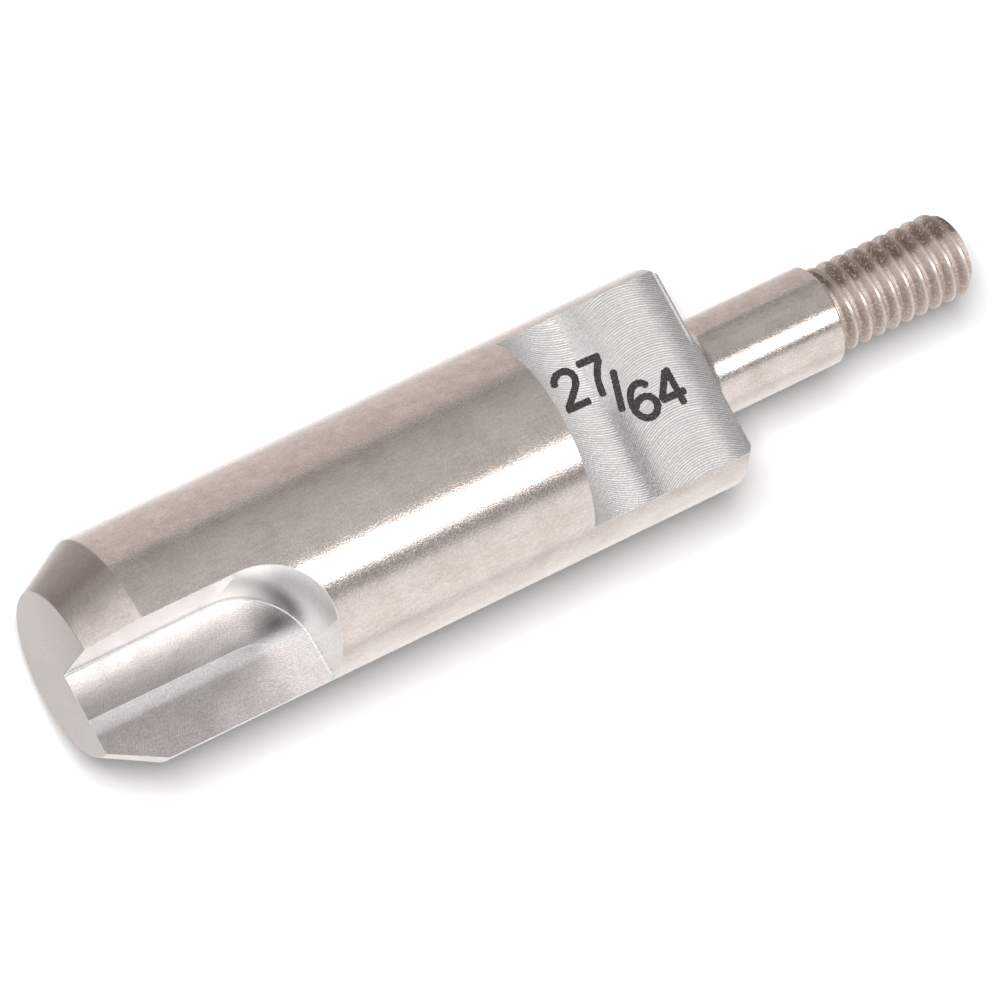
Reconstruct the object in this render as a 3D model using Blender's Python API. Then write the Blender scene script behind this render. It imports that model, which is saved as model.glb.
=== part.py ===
"""Pen reamer: a one-piece steel cutter for pen blanks, with a threaded shank.

The tool is turned from one bar, and then three cuts are milled in it: a chip flute
that takes a quarter out of the nose, a shallow second pass on the floor of that flute,
and a flat at the shank end that carries the size mark. The thread is single-point cut.

Everything is modelled in the tool's own frame and then laid down by one parent empty:
X runs from the nose to the threaded end, Y and Z lie along the two faces of the flute,
and the Z side is the one that is milled.
"""

import math

import bmesh
import bpy

MM = 0.001
INCH = 0.0254

# Turned form
BODY_DIAMETER = 27 / 64 * INCH
BODY_LENGTH = 32.85 * MM
NOSE_DIAMETER = 5 / 16 * INCH
NOSE_LENGTH = 2.55 * MM
NOSE_EDGE_BREAK = 0.06 * MM
SHOULDER_BEVEL = 0.22 * MM
SHANK_DIAMETER = 3 / 16 * INCH
SHANK_LENGTH = 7.15 * MM
SHANK_FILLET = 0.5 * MM
SHANK_BEVEL = 0.18 * MM

# Thread of 8-32 form, with crest, pitch and start as they measure in the photo
THREAD_DIAMETER = 0.162 * INCH
THREAD_PITCH = 0.769 * MM
THREAD_LENGTH = 7.3 * MM
THREAD_END_BEVEL = 0.4 * MM
THREAD_CREST_SHARE = 1 / 8
THREAD_DEPTH_SHARE = 0.6134
THREAD_HALF_ANGLE = math.radians(30)
THREAD_RUN_OUT_TURNS = 0.35
THREAD_START_TURN = -0.036
THREAD_LAND = 0.03 * MM

# Milled cuts: the flute's wall and floor both pass through the axis
FLUTE_LENGTH = 11.05 * MM
FLUTE_MILL_DIAMETER = 9 / 32 * INCH
FLUTE_WALL_OFFSET = 0.0 * MM
FLUTE_FLOOR_HEIGHT = 0.0 * MM
FLUTE_CORNER_RADIUS = 0.15 * MM
SECOND_PASS_OFFSET = 2.33 * MM
SECOND_PASS_DEPTH = 0.04 * MM
FLAT_LENGTH = 8.5 * MM
FLAT_HEIGHT = 2.61 * MM

# How the tool lies: the side lightened by the cuts faces up, and a facet is on the floor
FACETS = 72
REST_ROLL = 5 * math.tau / FACETS

# Fineness of the thread, of the arcs and of the small radii
THREAD_STEPS = 36
ARC_STEPS = 12
FILLET_STEPS = 3
CORNER_STEPS = 2

# Cutters reach this far past the surface that they cut
OVERCUT = 1.0 * MM
THREAD_OVERCUT = 0.04 * MM
SAME_PLACE = 1e-7

STEEL_COLOUR = (0.50, 0.46, 0.44, 1.0)
STEEL_ROUGHNESS = 0.32

BODY_RADIUS = BODY_DIAMETER / 2
SHANK_RADIUS = SHANK_DIAMETER / 2
THREAD_RADIUS = THREAD_DIAMETER / 2
SHANK_END = BODY_LENGTH + SHANK_LENGTH
TOTAL_LENGTH = SHANK_END + THREAD_LENGTH


def clear_scene():
    for obj in list(bpy.data.objects):
        bpy.data.objects.remove(obj, do_unlink=True)


def steel():
    material = bpy.data.materials.new("turned_steel")
    material.use_nodes = True
    shader = material.node_tree.nodes["Principled BSDF"]
    shader.inputs["Base Color"].default_value = STEEL_COLOUR
    shader.inputs["Metallic"].default_value = 1.0
    shader.inputs["Roughness"].default_value = STEEL_ROUGHNESS
    return material


def arc(centre, radius, start, end, steps):
    """Points on an arc from one angle to another, both ends included."""
    angles = [start + (end - start) * i / steps for i in range(steps + 1)]
    return [(centre[0] + radius * math.cos(a), centre[1] + radius * math.sin(a)) for a in angles]


def add_object(name, bm, parent):
    bmesh.ops.recalc_face_normals(bm, faces=bm.faces)
    mesh = bpy.data.meshes.new(name)
    bm.to_mesh(mesh)
    bm.free()
    obj = bpy.data.objects.new(name, mesh)
    obj.parent = parent
    bpy.context.collection.objects.link(obj)
    return obj


def turned(name, profile, parent):
    """A solid turned about X from a profile of (place along the axis, radius).

    The milled planes cross the middle of a facet, never a line of corners.
    """
    bm = bmesh.new()
    half = math.pi / FACETS
    verts = [
        bm.verts.new((x, radius * math.cos(half), radius * math.sin(half))) for x, radius in profile
    ]
    edges = [bm.edges.new(pair) for pair in zip(verts, verts[1:])]
    bmesh.ops.spin(
        bm, geom=verts + edges, cent=(0, 0, 0), axis=(1, 0, 0), angle=math.tau, steps=FACETS
    )
    bmesh.ops.remove_doubles(bm, verts=bm.verts, dist=SAME_PLACE)
    rims = [edge for edge in bm.edges if edge.is_boundary]
    bmesh.ops.holes_fill(bm, edges=rims, sides=0)
    obj = add_object(name, bm, parent)
    obj.data.shade_smooth()
    obj.data.set_sharp_from_angle(angle=math.radians(12))
    return obj


def prism(name, outline, low, high, parent):
    """A cutter: an outline in X and Y, carried up from one height to another."""
    bm = bmesh.new()
    base = bm.faces.new([bm.verts.new((x, y, low)) for x, y in outline])
    top = bmesh.ops.extrude_face_region(bm, geom=[base])
    raised = [item for item in top["geom"] if isinstance(item, bmesh.types.BMVert)]
    bmesh.ops.translate(bm, verts=raised, vec=(0, 0, high - low))
    return add_object(name, bm, parent)


def as_cutter(obj):
    obj.hide_render = True
    obj.display_type = "WIRE"
    return obj


def cut(target, cutter):
    modifier = target.modifiers.new(cutter.name, "BOOLEAN")
    modifier.operation = "DIFFERENCE"
    modifier.solver = "EXACT"
    modifier.object = as_cutter(cutter)


def turned_profile():
    """The bar after turning, from the nose face to the end of the thread."""
    nose_radius = NOSE_DIAMETER / 2
    end_radius = THREAD_RADIUS - THREAD_END_BEVEL
    fillet = arc(
        (BODY_LENGTH + SHANK_FILLET, SHANK_RADIUS + SHANK_FILLET),
        SHANK_FILLET,
        math.pi,
        1.5 * math.pi,
        FILLET_STEPS,
    )
    return [
        (0.0, nose_radius - NOSE_EDGE_BREAK),
        (NOSE_EDGE_BREAK, nose_radius),
        (NOSE_LENGTH, BODY_RADIUS),
        (BODY_LENGTH - SHOULDER_BEVEL, BODY_RADIUS),
        (BODY_LENGTH, BODY_RADIUS - SHOULDER_BEVEL),
        *fillet,
        (SHANK_END - SHANK_BEVEL, SHANK_RADIUS),
        (SHANK_END, THREAD_RADIUS),
        (TOTAL_LENGTH - THREAD_END_BEVEL, THREAD_RADIUS),
        (TOTAL_LENGTH, end_radius),
    ]


def milled_outline(wall):
    """Plan of one pass: along the wall, round the mill's quarter arc and out to the side."""
    mill_radius = FLUTE_MILL_DIAMETER / 2
    outside = -BODY_RADIUS - OVERCUT
    corner = arc(
        (FLUTE_LENGTH - mill_radius, wall - mill_radius), mill_radius, math.pi / 2, 0, ARC_STEPS
    )
    return [(-OVERCUT, outside), (-OVERCUT, wall), *corner, (FLUTE_LENGTH, outside)]


def at_foot_of_wall(edge):
    """Whether a cutter's lower edge follows the milled wall, and not its open front or side."""
    a, b = (vert.co for vert in edge.verts)
    on_floor = max(abs(a.z - FLUTE_FLOOR_HEIGHT), abs(b.z - FLUTE_FLOOR_HEIGHT)) < SAME_PLACE
    at_front = max(a.x, b.x) < -OVERCUT / 2
    at_side = max(a.y, b.y) < -BODY_RADIUS - OVERCUT / 2
    return on_floor and not at_front and not at_side


def flute_cutter(parent):
    """The quarter cut out of the nose, with the mill's small corner radius at its foot."""
    top = BODY_RADIUS + OVERCUT
    obj = prism("flute_cutter", milled_outline(FLUTE_WALL_OFFSET), FLUTE_FLOOR_HEIGHT, top, parent)
    bm = bmesh.new()
    bm.from_mesh(obj.data)
    foot = [edge for edge in bm.edges if at_foot_of_wall(edge)]
    bmesh.ops.bevel(
        bm,
        geom=foot,
        offset=FLUTE_CORNER_RADIUS,
        segments=CORNER_STEPS,
        profile=0.5,
        affect="EDGES",
    )
    bm.to_mesh(obj.data)
    bm.free()
    return obj


def second_pass_cutter(parent):
    """The outer pass on the flute's floor, a touch deeper, which leaves a fine step."""
    wall = FLUTE_WALL_OFFSET - SECOND_PASS_OFFSET
    low = FLUTE_FLOOR_HEIGHT - SECOND_PASS_DEPTH
    return prism("second_pass_cutter", milled_outline(wall), low, BODY_RADIUS + OVERCUT, parent)


def flat_cutter(parent):
    """The flat at the shank end, open at the shoulder, with a square wall at its far end."""
    side = BODY_RADIUS + OVERCUT
    start = BODY_LENGTH - FLAT_LENGTH
    end = BODY_LENGTH + OVERCUT
    outline = [(start, -side), (end, -side), (end, side), (start, side)]
    return prism("flat_cutter", outline, FLAT_HEIGHT, BODY_RADIUS + OVERCUT, parent)


def thread_cutter(parent):
    """The thread's groove as one helical solid, right-handed, drawn clear at the shank end.

    Its first turn runs along the shank, and stops short of it by a narrow land.
    """
    depth = THREAD_DEPTH_SHARE * THREAD_PITCH
    slope = math.tan(THREAD_HALF_ANGLE)
    top_radius = THREAD_RADIUS + THREAD_OVERCUT
    root_radius = THREAD_RADIUS - depth
    mouth_half = THREAD_PITCH * (1 - THREAD_CREST_SHARE) / 2
    top_half = mouth_half + THREAD_OVERCUT * slope
    root_half = mouth_half - depth * slope
    section = [
        (-root_half, root_radius),
        (root_half, root_radius),
        (top_half, top_radius),
        (-top_half, top_radius),
    ]
    first = SHANK_END
    nearest = first + THREAD_LAND
    turns = (TOTAL_LENGTH - first) / THREAD_PITCH + 1
    steps = math.ceil(turns * THREAD_STEPS)
    bm = bmesh.new()
    rings = []
    for step in range(steps + 1):
        turn = step / THREAD_STEPS
        angle = math.tau * (turn + THREAD_START_TURN)
        lift = (depth + THREAD_OVERCUT) * max(0.0, 1 - turn / THREAD_RUN_OUT_TURNS)
        ring = []
        for along, radius in section:
            x = max(first + turn * THREAD_PITCH + along, nearest)
            y = (radius + lift) * math.cos(angle)
            z = (radius + lift) * math.sin(angle)
            ring.append(bm.verts.new((x, y, z)))
        rings.append(ring)
    for ring, following in zip(rings, rings[1:]):
        for i in range(len(section)):
            j = (i + 1) % len(section)
            bm.faces.new((ring[i], ring[j], following[j], following[i]))
    bm.faces.new(rings[0])
    bm.faces.new(rings[-1])
    return add_object("thread_cutter", bm, parent)


def lay_down():
    """An empty that rolls the tool to the way it lies and stands it on the ground."""
    empty = bpy.data.objects.new("rest", None)
    apothem = BODY_RADIUS * math.cos(math.pi / FACETS)
    empty.location = (-TOTAL_LENGTH / 2, 0, apothem)
    empty.rotation_euler = (-REST_ROLL, 0, 0)
    bpy.context.collection.objects.link(empty)
    return empty


def main():
    clear_scene()
    rest = lay_down()
    reamer = turned("reamer", turned_profile(), rest)
    reamer.data.materials.append(steel())
    cut(reamer, flute_cutter(rest))
    cut(reamer, second_pass_cutter(rest))
    cut(reamer, flat_cutter(rest))
    cut(reamer, thread_cutter(rest))


main()
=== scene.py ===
"""Pen reamer: the visual model of a one-piece steel cutter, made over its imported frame.

The tool is turned from one bar, milled in three passes, threaded and marked with its size.
Sizes inside the tool are in millimetres in its own frame: X runs from the nose to the thread,
U points away from the open side of the flute and V is the side that is milled.
TOOL lays that frame down the way the reamer rests on the floor.
"""

import math

import bmesh
import bpy
from bpy.props import FloatProperty, FloatVectorProperty, IntProperty, PointerProperty
from mathutils import Matrix, Vector


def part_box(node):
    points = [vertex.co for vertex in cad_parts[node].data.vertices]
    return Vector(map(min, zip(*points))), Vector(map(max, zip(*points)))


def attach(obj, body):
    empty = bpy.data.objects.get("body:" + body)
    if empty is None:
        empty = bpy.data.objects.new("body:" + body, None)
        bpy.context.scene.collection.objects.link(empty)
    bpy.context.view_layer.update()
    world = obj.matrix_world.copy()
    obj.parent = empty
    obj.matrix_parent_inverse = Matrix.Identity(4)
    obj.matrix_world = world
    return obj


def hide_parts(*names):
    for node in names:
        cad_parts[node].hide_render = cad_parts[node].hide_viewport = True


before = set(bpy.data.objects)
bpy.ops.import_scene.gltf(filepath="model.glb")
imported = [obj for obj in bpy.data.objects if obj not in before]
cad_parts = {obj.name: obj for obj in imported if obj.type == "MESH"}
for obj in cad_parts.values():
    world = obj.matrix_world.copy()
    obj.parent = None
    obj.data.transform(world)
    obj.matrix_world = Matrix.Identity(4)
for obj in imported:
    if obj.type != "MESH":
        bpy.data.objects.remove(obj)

bl_info = {
    "name": "Pen reamer",
    "version": (1, 0, 0),
    "blender": (4, 5, 0),
    "location": "3D View > Sidebar > Reamer",
    "description": "Makes a pen reamer of turned, milled and threaded tool steel",
    "category": "Add Mesh",
}

MM = 0.001
INCH = 0.0254
BOX_LOW, BOX_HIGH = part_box("reamer")
BODY_RADIUS = (BOX_HIGH.y - BOX_LOW.y) / 2
REST_ROLL = math.radians(25)
TOOL = Matrix.Translation((BOX_LOW.x, 0, BODY_RADIUS)) @ Matrix.Rotation(-REST_ROLL, 4, "X")
SAME_PLACE = 1e-7

# The thread's groove: shares of the pitch, then how it starts beside the shank
GROOVE_DEPTH = 0.5
GROOVE_MOUTH = 0.41
GROOVE_ROUNDING = 0.05 * MM
START_TURN = -0.036
RUN_OUT_TURNS = 0.35
SHANK_LAND = 0.03 * MM
CLEAR_OF_CRESTS = 0.06 * MM

# The thread's end, the steps in the mill's quarter arc, the depth of the finest marks, the
# sharpest angle that is shaded smooth, and the floor's width
THREAD_END_BEVEL = 0.4 * MM
MILL_ARC_STEPS = 96
FINE_BUMP = 0.006 * MM
SHARP_ANGLE = math.radians(40)
SHEET_WIDTH = 4.0


def linear(hex_colour):
    """An sRGB hex colour as the linear values that Blender works in."""
    parts = [int(hex_colour[i : i + 2], 16) / 255 for i in (1, 3, 5)]
    return tuple(c / 12.92 if c <= 0.04045 else ((c + 0.055) / 1.055) ** 2.4 for c in parts)


def size_property(name, description, default):
    return FloatProperty(
        name=name,
        description=description,
        default=default,
        min=0,
        subtype="DISTANCE",
        unit="LENGTH",
    )


def colour_property(name, description, hex_colour):
    return FloatVectorProperty(
        name=name,
        description=description,
        default=linear(hex_colour),
        min=0,
        max=1,
        subtype="COLOR",
    )


class ReamerSizes(bpy.types.PropertyGroup):
    nose_diameter: size_property("Nose diameter", "Across the nose face", 5 / 16 * INCH)
    nose_length: size_property("Nose length", "Length of the bevelled nose", 2.55 * MM)
    body_length: size_property("Body length", "Nose face to shoulder", 32.85 * MM)
    shoulder_bevel: size_property("Shoulder bevel", "Width of the bevel on the shoulder", 0.22 * MM)
    shank_diameter: size_property("Shank diameter", "Across the plain shank", 3 / 16 * INCH)
    shank_length: size_property("Shank length", "Shoulder to the end of the shank", 7.15 * MM)
    shank_bevel: size_property("Shank bevel", "Length of the bevel that ends the shank", 0.18 * MM)
    shank_fillet: size_property("Shank fillet", "Radius where shank and shoulder meet", 0.5 * MM)
    thread_diameter: size_property("Thread diameter", "Across the crests", 0.162 * INCH)
    thread_pitch: size_property("Thread pitch", "From crest to crest", 0.769 * MM)
    thread_length: size_property("Thread length", "Length of the threaded end", 7.3 * MM)
    flute_length: size_property("Flute length", "Nose face to the end of the flute", 11.05 * MM)
    mill_diameter: size_property("Mill diameter", "Mill that cuts flute and flat", 9 / 32 * INCH)
    flute_corner: size_property("Flute corner", "Radius at the foot of the flute's wall", 0.15 * MM)
    second_pass_offset: size_property("Second pass offset", "Wall to the second pass", 2.33 * MM)
    second_pass_depth: size_property("Second pass depth", "Step down to its floor", 0.015 * MM)
    flat_length: size_property("Flat length", "Shoulder to the flat's wall", 8.5 * MM)
    flat_height: size_property("Flat height", "Axis to the flat", 2.61 * MM)
    edge_break: size_property("Edge break", "Width of the worn milled edges", 0.02 * MM)
    facets: IntProperty(name="Facets", description="Sides of the turned form", default=288, min=24)
    thread_steps: IntProperty(
        name="Thread steps", description="Steps in a turn of the thread", default=96, min=12
    )


class ReamerMark(bpy.types.PropertyGroup):
    stroke_width: size_property("Stroke width", "Width of the marked strokes", 0.355 * MM)
    stroke_height: size_property("Stroke height", "How far the oxide stands up", 0.006 * MM)
    ink: colour_property("Oxide colour", "Colour of the marked steel", "#2A1F1F")


class ReamerFinish(bpy.types.PropertyGroup):
    steel: colour_property("Steel colour", "Colour of the bare steel", "#D9CFC9")
    lathe_pitch: size_property("Lathe pitch", "Distance between the turning marks", 0.09 * MM)
    mill_pitch: size_property("Mill pitch", "Distance between the milling marks", 0.12 * MM)
    # The oil's colour also serves as painted shade on one side of the thread
    oil_and_shade: colour_property("Oil colour", "Colour of the dried oil in the thread", "#85756A")


class ReamerStudio(bpy.types.PropertyGroup):
    sheet: colour_property("Sheet colour", "Colour of the white sheet under the tool", "#F2F2F2")
    table: colour_property("Table colour", "Colour of the table behind the sheet", "#999796")
    side_table: colour_property("Side colour", "Colour of the table beside the nose", "#8C8A89")
    room: colour_property("Room colour", "Colour of the room at the horizon", "#A09E9E")
    ceiling: colour_property("Ceiling colour", "Colour of the room overhead", "#919090")
    strip_light: FloatProperty(name="Strip light", description="Radiance", default=5.2, min=0)
    side_light: FloatProperty(name="Side light", description="Radiance", default=0.84, min=0)
    fill_light: FloatProperty(name="Fill light", description="Radiance", default=0.4, min=0)
    nose_light: FloatProperty(name="Nose light", description="Radiance", default=1.2, min=0)
    sheet_light: FloatProperty(name="Sheet light", description="Radiance", default=45.0, min=0)


def put(tree, kind, *values, out=0, **settings):
    """Adds one node with its settings, sets or links its inputs, and gives back one output.

    Values fill the inputs in order, None leaves one as it is, and a dict names inputs instead.
    """
    node = tree.nodes.new(kind)
    for key, value in settings.items():
        setattr(node, key, value)
    pairs = []
    for index, value in enumerate(values):
        pairs.extend(value.items() if isinstance(value, dict) else [(index, value)])
    for key, value in pairs:
        if isinstance(value, bpy.types.NodeSocket):
            tree.links.new(value, node.inputs[key])
        elif value is not None:
            node.inputs[key].default_value = value
    return node.outputs[out] if node.outputs else node


def calc(tree, operation, *values, clamp=False):
    """One step of arithmetic on sockets and numbers."""
    return put(tree, "ShaderNodeMath", *values, operation=operation, use_clamp=clamp)


def geometry_tree(name, inputs):
    """An empty geometry tree with a geometry output and the named inputs, and its group input."""
    tree = bpy.data.node_groups.new(name, "GeometryNodeTree")
    tree.interface.new_socket("Geometry", in_out="INPUT", socket_type="NodeSocketGeometry")
    tree.interface.new_socket("Geometry", in_out="OUTPUT", socket_type="NodeSocketGeometry")
    for label, kind in inputs:
        tree.interface.new_socket(label, in_out="INPUT", socket_type=kind)
    return tree, tree.nodes.new("NodeGroupInput").outputs


def end_tree(tree, geometry, material):
    """Realizes instances, sets the material and closes the tree."""
    realized = put(tree, "GeometryNodeRealizeInstances", geometry)
    finished = put(tree, "GeometryNodeSetMaterial", realized, None, material)
    put(tree, "NodeGroupOutput", finished)


def run_tree(obj, tree, values):
    """Sets the modifier's inputs by identifier, takes the result as a plain mesh and clears up."""
    modifier = obj.modifiers.new(tree.name, "NODES")
    modifier.node_group = tree
    for item in tree.interface.items_tree:
        if item.in_out == "INPUT" and item.name in values:
            modifier[item.identifier] = values[item.name]
    return plain_mesh(obj)


def plain_mesh(obj):
    """The evaluated object as a mesh of its own; its modifiers are removed."""
    graph = bpy.context.evaluated_depsgraph_get()
    graph.update()
    mesh = bpy.data.meshes.new_from_object(obj.evaluated_get(graph), depsgraph=graph)
    obj.modifiers.clear()
    return mesh


def new_object(name, data):
    obj = bpy.data.objects.new(name, data)
    bpy.context.collection.objects.link(obj)
    return obj


def remove_objects(*objects):
    for obj in objects:
        bpy.data.objects.remove(obj, do_unlink=True)


def polyline(name, points):
    """An object whose mesh holds only points: a profile or a section, in order."""
    mesh = bpy.data.meshes.new(name)
    mesh.from_pydata([(x, y, 0) for x, y in points], [], [])
    return new_object(name, mesh)


def closed(mesh):
    """Merges doubles, caps open ends and turns all faces outwards."""
    bm = bmesh.new()
    bm.from_mesh(mesh)
    bmesh.ops.remove_doubles(bm, verts=bm.verts, dist=SAME_PLACE)
    rims = [edge for edge in bm.edges if edge.is_boundary]
    bmesh.ops.holes_fill(bm, edges=rims, sides=0)
    bmesh.ops.recalc_face_normals(bm, faces=bm.faces)
    bm.to_mesh(mesh)
    bm.free()
    return mesh


def rounded(corners, steps=4):
    """A line of points from (x, y, radius) corners, each corner rounded by its radius."""
    points = []
    last = len(corners) - 1
    for index, (x, y, radius) in enumerate(corners):
        here = Vector((x, y))
        if radius == 0 or index in (0, last):
            points.append((x, y))
            continue
        back = (Vector(corners[index - 1][:2]) - here).normalized()
        ahead = (Vector(corners[index + 1][:2]) - here).normalized()
        half = back.angle(ahead) / 2
        centre = here + (back + ahead).normalized() * radius / math.sin(half)
        first = here + back * radius / math.tan(half) - centre
        second = here + ahead * radius / math.tan(half) - centre
        turn = math.atan2(first.cross(second), first.dot(second))
        for step in range(steps + 1):
            arm = first.copy()
            arm.rotate(Matrix.Rotation(turn * step / steps, 2))
            points.append(tuple(centre + arm))
    return points


def unit_grid(tree, rows, columns):
    """A grid with its points' place, X and Y, which run from -0.5 to 0.5."""
    grid = put(tree, "GeometryNodeMeshGrid", 1.0, 1.0, rows, columns)
    place = put(tree, "GeometryNodeInputPosition")
    parts = put(tree, "ShaderNodeSeparateXYZ", place).node.outputs
    return grid, place, parts[0], parts[1]


def point_of(tree, points, index, place):
    """The X and Y of the point that has an index in a line of points."""
    values = {"Geometry": points, "Index": index}
    sample = put(tree, "GeometryNodeSampleIndex", values, data_type="FLOAT_VECTOR")
    tree.links.new(place, sample.node.inputs["Value"])
    return put(tree, "ShaderNodeSeparateXYZ", sample).node.outputs[:2]


def end_round(tree, grid, x, radius, turn, material):
    """Wraps a grid about the X axis, each point at its place, radius and turn."""
    angle = calc(tree, "MULTIPLY", turn, math.tau)
    cosine = calc(tree, "COSINE", angle)
    sine = calc(tree, "SINE", angle)
    u = calc(tree, "MULTIPLY", radius, cosine)
    v = calc(tree, "MULTIPLY", radius, sine)
    wrapped = put(tree, "ShaderNodeCombineXYZ", x, u, v)
    moved = put(tree, "GeometryNodeSetPosition", {"Geometry": grid, "Position": wrapped})
    merged = put(tree, "GeometryNodeMergeByDistance", {"Geometry": moved, "Distance": SAME_PLACE})
    end_tree(tree, merged, material)


def turning_tree(material):
    """Spins a profile of (place along the axis, radius) points about X."""
    tree, inputs = geometry_tree(
        "turning", [("Profile", "NodeSocketObject"), ("Facets", "NodeSocketInt")]
    )
    profile = put(tree, "GeometryNodeObjectInfo", inputs["Profile"], out="Geometry")
    rows = put(tree, "GeometryNodeAttributeDomainSize", profile, component="MESH")
    columns = calc(tree, "ADD", inputs["Facets"], 1.0)
    grid, place, along, across = unit_grid(tree, rows, columns)
    last = calc(tree, "SUBTRACT", rows, 1.0)
    row = calc(tree, "ADD", along, 0.5)
    row = calc(tree, "MULTIPLY", row, last)
    row = calc(tree, "ROUND", row)
    x, radius = point_of(tree, profile, row, place)
    # Half a facet on, so that a milled plane crosses the middle of a facet
    share = calc(tree, "DIVIDE", 0.5, inputs["Facets"])
    turn = calc(tree, "ADD", across, share)
    end_round(tree, grid, x, radius, turn, material)
    return tree


def screw_tree(material):
    """Sweeps a closed section of (along, radius) points along a helix about X."""
    tree, inputs = geometry_tree(
        "screw_groove",
        [
            ("Section", "NodeSocketObject"),
            ("First Place", "NodeSocketFloat"),
            ("Pitch", "NodeSocketFloat"),
            ("Turns", "NodeSocketFloat"),
            ("Steps Per Turn", "NodeSocketInt"),
            ("Start Turn", "NodeSocketFloat"),
            ("Run Out Turns", "NodeSocketFloat"),
            ("Run Out Lift", "NodeSocketFloat"),
            ("Nearest Place", "NodeSocketFloat"),
        ],
    )
    section = put(tree, "GeometryNodeObjectInfo", inputs["Section"], out="Geometry")
    count = put(tree, "GeometryNodeAttributeDomainSize", section, component="MESH")
    steps = calc(tree, "MULTIPLY", inputs["Turns"], inputs["Steps Per Turn"])
    rows = calc(tree, "ADD", steps, 1.0)
    columns = calc(tree, "ADD", count, 1.0)
    grid, place, along, across = unit_grid(tree, rows, columns)
    share = calc(tree, "ADD", along, 0.5)
    turn = calc(tree, "MULTIPLY", share, inputs["Turns"])
    column = calc(tree, "ADD", across, 0.5)
    column = calc(tree, "MULTIPLY", column, count)
    column = calc(tree, "ROUND", column)
    column = calc(tree, "FLOORED_MODULO", column, count)
    offset, radius = point_of(tree, section, column, place)
    x = calc(tree, "MULTIPLY", turn, inputs["Pitch"])
    x = calc(tree, "ADD", x, inputs["First Place"])
    x = calc(tree, "ADD", x, offset)
    x = calc(tree, "MAXIMUM", x, inputs["Nearest Place"])
    # The groove is drawn clear of the bar over the first part of a turn, beside the shank
    faded = calc(tree, "DIVIDE", turn, inputs["Run Out Turns"])
    faded = calc(tree, "SUBTRACT", 1.0, faded, clamp=True)
    lift = calc(tree, "MULTIPLY", faded, inputs["Run Out Lift"])
    radius = calc(tree, "ADD", radius, lift)
    turn = calc(tree, "ADD", turn, inputs["Start Turn"])
    end_round(tree, grid, x, radius, turn, material)
    return tree


def stroke_tree(material):
    """Turns centre lines into flat, softly curving strokes, lying in the plane Z = 0."""
    tree, inputs = geometry_tree(
        "marked_strokes", [("Width", "NodeSocketFloat"), ("Height", "NodeSocketFloat")]
    )
    smooth = put(tree, "GeometryNodeCurveSplineType", inputs["Geometry"], spline_type="CATMULL_ROM")
    lines = put(
        tree,
        "GeometryNodeResampleCurve",
        {"Curve": smooth, "Length": 0.02 * MM},
        mode="LENGTH",
    )
    half = calc(tree, "MULTIPLY", inputs["Width"], 0.5)
    length = put(tree, "GeometryNodeSplineLength")
    run = put(tree, "GeometryNodeSplineParameter", out="Length")
    rest = calc(tree, "SUBTRACT", length, run)
    near = calc(tree, "MINIMUM", run, rest)
    # A nearly square end: the width follows a circle over the last part of the line
    share = calc(tree, "MULTIPLY", half, 0.6)
    share = calc(tree, "DIVIDE", near, share, clamp=True)
    share = calc(tree, "SUBTRACT", 1.0, share)
    share = calc(tree, "MULTIPLY", share, share)
    share = calc(tree, "SUBTRACT", 1.0, share)
    share = calc(tree, "POWER", share, 0.5)
    share = calc(tree, "MAXIMUM", share, 0.05)
    # The laser's spots leave a ragged edge
    spots = put(tree, "ShaderNodeTexNoise", {"Scale": 14 / MM, "Detail": 1.0})
    spots = put(tree, "ShaderNodeMapRange", spots, 0.3, 0.7, 0.86, 1.08)
    share = calc(tree, "MULTIPLY", share, spots)
    ring = put(tree, "GeometryNodeCurvePrimitiveCircle", {"Resolution": 16, "Radius": half})
    tube = put(
        tree,
        "GeometryNodeCurveToMesh",
        {"Curve": lines, "Profile Curve": ring, "Fill Caps": True, "Scale": share},
    )
    place = put(tree, "GeometryNodeInputPosition")
    ratio = calc(tree, "DIVIDE", inputs["Height"], half)
    squash = put(tree, "ShaderNodeCombineXYZ", 1.0, 1.0, ratio)
    flat = put(tree, "ShaderNodeVectorMath", place, squash, operation="MULTIPLY")
    moved = put(tree, "GeometryNodeSetPosition", {"Geometry": tube, "Position": flat})
    end_tree(tree, moved, material)
    return tree


def material_tree(name):
    """A new material with only its output node."""
    material = bpy.data.materials.new(name)
    material.use_nodes = True
    material.node_tree.nodes.clear()
    return material, material.node_tree


def tool_place(tree):
    """Places in the tool's own frame in millimetres: the vector and its X, U and V."""
    coordinates = put(tree, "ShaderNodeTexCoord", out="Object")
    mapping = put(
        tree,
        "ShaderNodeMapping",
        coordinates,
        TOOL.translation,
        (-REST_ROLL, 0, 0),
        (MM, MM, MM),
        vector_type="TEXTURE",
    )
    parts = put(tree, "ShaderNodeSeparateXYZ", mapping).node.outputs
    return mapping, parts[0], parts[1], parts[2]


def to_world(tree, x, u, v):
    """A direction in the tool's frame, turned the way the tool lies."""
    direction = put(tree, "ShaderNodeCombineXYZ", x, u, v)
    values = {"Vector": direction, "Angle": -REST_ROLL}
    return put(tree, "ShaderNodeVectorRotate", values, rotation_type="X_AXIS")


def steel_shader(tree, colour, roughness, anisotropy, tangent, height, depth):
    """Bare steel: a tangent across its marks, and one bump of a depth in metres."""
    normal = put(tree, "ShaderNodeBump", {"Strength": 1.0, "Distance": depth, "Height": height})
    shader = put(
        tree,
        "ShaderNodeBsdfPrincipled",
        {
            "Base Color": colour,
            "Metallic": 1.0,
            "Roughness": roughness,
            "Anisotropic": anisotropy,
            "Tangent": tangent,
            "Normal": normal,
        },
    )
    put(tree, "ShaderNodeOutputMaterial", shader)


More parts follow.
